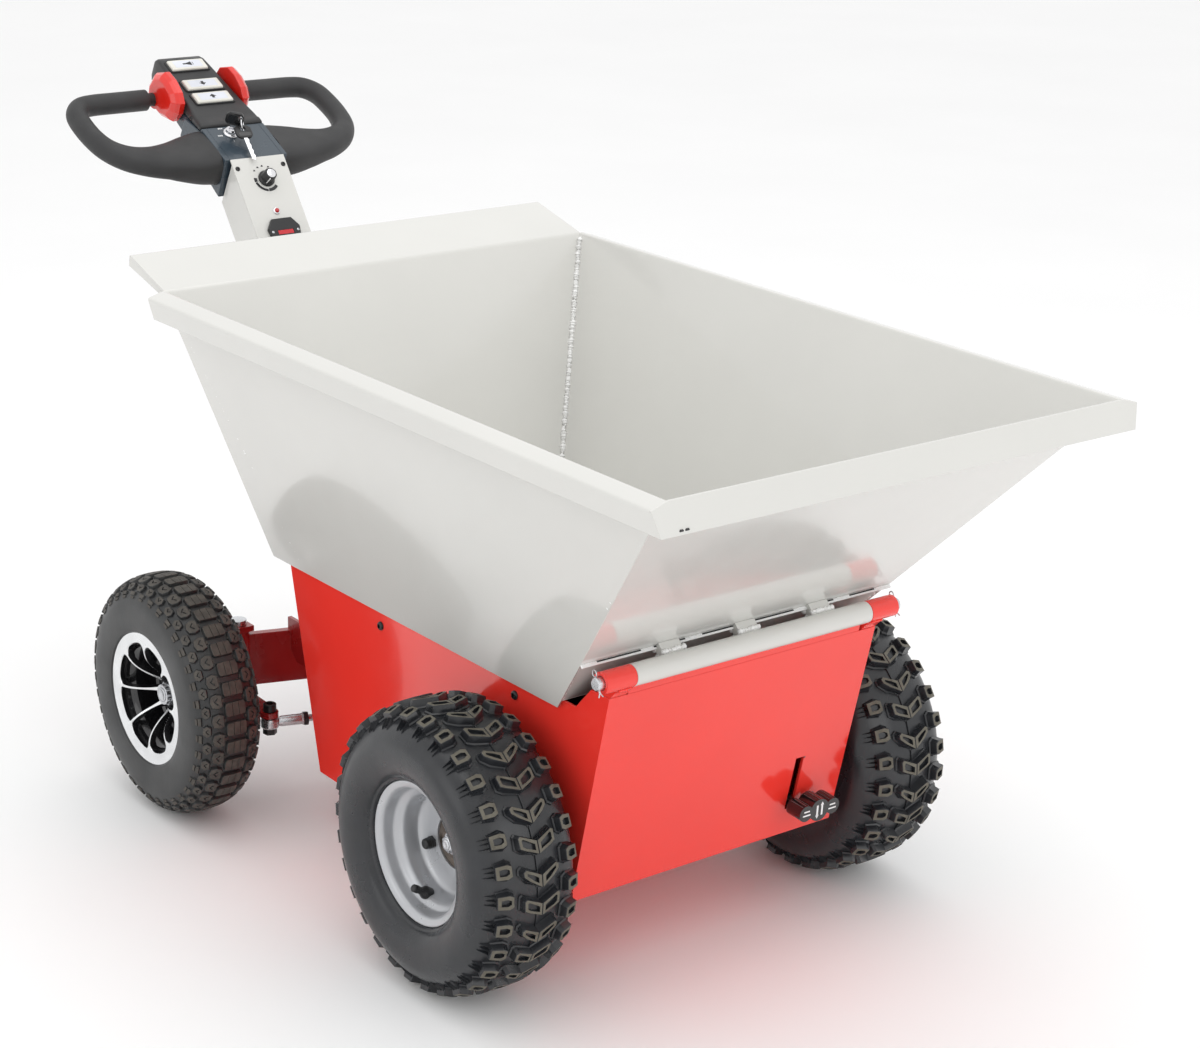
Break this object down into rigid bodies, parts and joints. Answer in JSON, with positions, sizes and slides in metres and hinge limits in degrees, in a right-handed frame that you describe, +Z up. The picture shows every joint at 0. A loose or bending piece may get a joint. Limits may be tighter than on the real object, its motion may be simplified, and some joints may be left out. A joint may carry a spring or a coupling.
{
  "type": "power wheelbarrow",
  "caption": "Battery powered wheelbarrow: a tapered tipping hopper on a steel box chassis with knobbly drive wheels, steered rear wheels and a walk-behind tiller.",
  "frame": {"origin": "on the ground, under the middle of the whole machine", "axes": "+Z up, the machine drives towards -Y, the operator stands at +Y and has +X on the left"},
  "size_m": [0.739, 1.598, 0.9268],
  "materials": {
    "red_paint": "gloss red powder coat",
    "dark_red_paint": "dark red paint",
    "grey_paint": "gloss pale grey powder coat",
    "slate_paint": "satin slate paint",
    "black_paint": "gloss black",
    "silver_paint": "silver wheel paint",
    "cast_metal": "bare casting",
    "zinc": "zinc plated",
    "chrome": "bright chrome",
    "black_plastic": "grained black plastic",
    "white_plastic": "off-white plastic",
    "red_plastic": "gloss red plastic",
    "red_lens": "clear red lens",
    "grip_rubber": "soft black integral foam",
    "tyre": "matt black rubber"
  },
  "bodies": {
    "chassis": {"chassis_shell": "red_paint", "rear_cover": "red_paint", "hinge_sleeve_left": "red_paint", "hinge_sleeve_right": "red_paint", "hinge_pin": "zinc", "cotter_pin_left": "zinc", "cotter_pin_right": "zinc", "actuator_lower_pin": "zinc", "rear_axle_beam": "dark_red_paint", "kingpin_left": "zinc", "kingpin_right": "zinc", "transaxle": "cast_metal", "drive_motor": "black_paint", "battery_left": "black_plastic", "battery_right": "black_plastic", "motor_controller": "cast_metal"},
    "hopper": {"hopper": "grey_paint", "hopper_hinge_tube": "grey_paint"},
    "actuator_body": {"actuator_body": "black_paint"},
    "actuator_rod": {"actuator_rod": "chrome", "actuator_upper_pin": "zinc"},
    "tiller": {"steering_shaft": "zinc", "pitman_arm": "zinc", "pitman_bolt": "zinc", "tiller_column": "grey_paint", "tiller_cover": "grey_paint", "handle_loop_left": "grip_rubber", "handle_loop_right": "grip_rubber", "switch_housing": "slate_paint", "control_head": "black_plastic", "key_switch": "chrome", "battery_gauge": "black_plastic", "indicator_lamp": "red_lens"},
    "horn_button": {"horn_button": "white_plastic"},
    "down_button": {"down_button": "white_plastic"},
    "up_button": {"up_button": "white_plastic"},
    "throttle": {"throttle_left": "red_plastic", "throttle_right": "red_plastic", "throttle_shaft": "zinc"},
    "ignition_key": {"ignition_key": "black_plastic"},
    "spare_key": {"key_ring": "chrome", "spare_key": "black_plastic"},
    "speed_knob": {"speed_knob": "black_plastic"},
    "release_lever": {"release_lever": "black_plastic"},
    "knuckle_left": {"knuckle_left": "dark_red_paint", "tie_rod_bolt_left": "black_paint"},
    "knuckle_right": {"knuckle_right": "dark_red_paint", "tie_rod_bolt_right": "black_paint"},
    "tie_rod_left": {"tie_rod_left": "zinc"},
    "tie_rod_right": {"tie_rod_right": "zinc"},
    "front_wheel_left": {"front_tyre_left": "tyre", "front_rim_left": "silver_paint", "axle_shaft_left": "zinc"},
    "front_wheel_right": {"front_tyre_right": "tyre", "front_rim_right": "silver_paint", "axle_shaft_right": "zinc"},
    "rear_wheel_left": {"rear_tyre_left": "tyre", "rear_rim_left": "black_paint"},
    "rear_wheel_right": {"rear_tyre_right": "tyre", "rear_rim_right": "black_paint"}
  },
  "joints": [
    {"name": "hopper_tilt", "type": "hinge", "parent": "chassis", "child": "hopper", "pos_m": [0, -0.5518, 0.429], "axis": [1, 0, 0], "range_deg": [0, 60]},
    {"name": "actuator_swing", "type": "hinge", "parent": "chassis", "child": "actuator_body", "pos_m": [0, -0.2482, 0.108], "axis": [1, 0, 0], "range_deg": [-15, 0.5]},
    {"name": "actuator_extend", "type": "slide", "parent": "actuator_body", "child": "actuator_rod", "axis": [0, -0.613, 0.7901], "range_m": [0, 0.125]},
    {"name": "steer", "type": "hinge", "parent": "chassis", "child": "tiller", "pos_m": [0, 0.1858, 0.2], "axis": [0, 0, 1], "range_deg": [-25, 25]},
    {"name": "knuckle_left_turn", "type": "hinge", "parent": "chassis", "child": "knuckle_left", "pos_m": [0.22, 0.2548, 0.187], "axis": [0, 0, 1], "range_deg": [-25.5, 25.5]},
    {"name": "knuckle_right_turn", "type": "hinge", "parent": "chassis", "child": "knuckle_right", "pos_m": [-0.22, 0.2548, 0.187], "axis": [0, 0, 1], "range_deg": [-25.5, 25.5]},
    {"name": "tie_rod_left_turn", "type": "hinge", "parent": "tiller", "child": "tie_rod_left", "pos_m": [0, 0.1048, 0.1098], "axis": [0, 0, 1], "range_deg": [-25.5, 25.5]},
    {"name": "tie_rod_right_turn", "type": "hinge", "parent": "tiller", "child": "tie_rod_right", "pos_m": [0, 0.1048, 0.1245], "axis": [0, 0, 1], "range_deg": [-25.5, 25.5]},
    {"name": "front_left_spin", "type": "hinge", "parent": "chassis", "child": "front_wheel_left", "pos_m": [0.289, -0.3682, 0.179], "axis": [1, 0, 0], "continuous": true},
    {"name": "front_right_spin", "type": "hinge", "parent": "chassis", "child": "front_wheel_right", "pos_m": [-0.289, -0.3682, 0.179], "axis": [1, 0, 0], "continuous": true},
    {"name": "rear_left_spin", "type": "hinge", "parent": "knuckle_left", "child": "rear_wheel_left", "pos_m": [0.319, 0.2548, 0.165], "axis": [1, 0, 0], "continuous": true},
    {"name": "rear_right_spin", "type": "hinge", "parent": "knuckle_right", "child": "rear_wheel_right", "pos_m": [-0.319, 0.2548, 0.165], "axis": [1, 0, 0], "continuous": true},
    {"name": "horn_press", "type": "slide", "parent": "tiller", "child": "horn_button", "axis": [0, 0.454, -0.891], "range_m": [0, 0.0025], "stiffness_N_per_m": 400},
    {"name": "down_press", "type": "slide", "parent": "tiller", "child": "down_button", "axis": [0, 0.454, -0.891], "range_m": [0, 0.0025], "stiffness_N_per_m": 400},
    {"name": "up_press", "type": "slide", "parent": "tiller", "child": "up_button", "axis": [0, 0.454, -0.891], "range_m": [0, 0.0025], "stiffness_N_per_m": 400},
    {"name": "throttle_turn", "type": "hinge", "parent": "tiller", "child": "throttle", "pos_m": [0, 0.7385, 0.87537], "axis": [1, 0, 0], "range_deg": [-30, 30], "stiffness_Nm_per_rad": 0.4},
    {"name": "key_turn", "type": "hinge", "parent": "tiller", "child": "ignition_key", "pos_m": [-0.012, 0.60898, 0.84103], "axis": [0, 0.454, -0.891], "range_deg": [0, 60]},
    {"name": "spare_key_swing", "type": "hinge", "parent": "ignition_key", "child": "spare_key", "pos_m": [-0.00507, 0.59179, 0.86595], "axis": [-0.5, -0.7716, -0.3932], "range_deg": [0, 60]},
    {"name": "speed_knob_turn", "type": "hinge", "parent": "tiller", "child": "speed_knob", "pos_m": [0.002, 0.53513, 0.7867], "axis": [0, -0.8028, 0.5962], "range_deg": [-135, 135]},
    {"name": "release_lift", "type": "hinge", "parent": "chassis", "child": "release_lever", "pos_m": [0.128, -0.3682, 0.225], "axis": [-1, 0, 0], "range_deg": [0, 24]}
  ],
  "couplings": [
    {"joint": "actuator_swing", "follows": "hopper_tilt", "ratio": -0.2427},
    {"joint": "actuator_extend", "follows": "hopper_tilt", "m_per_rad": 0.1182},
    {"joint": "knuckle_left_turn", "follows": "steer", "ratio": 1},
    {"joint": "knuckle_right_turn", "follows": "steer", "ratio": 1},
    {"joint": "tie_rod_left_turn", "follows": "steer", "ratio": -1},
    {"joint": "tie_rod_right_turn", "follows": "steer", "ratio": -1}
  ]
}
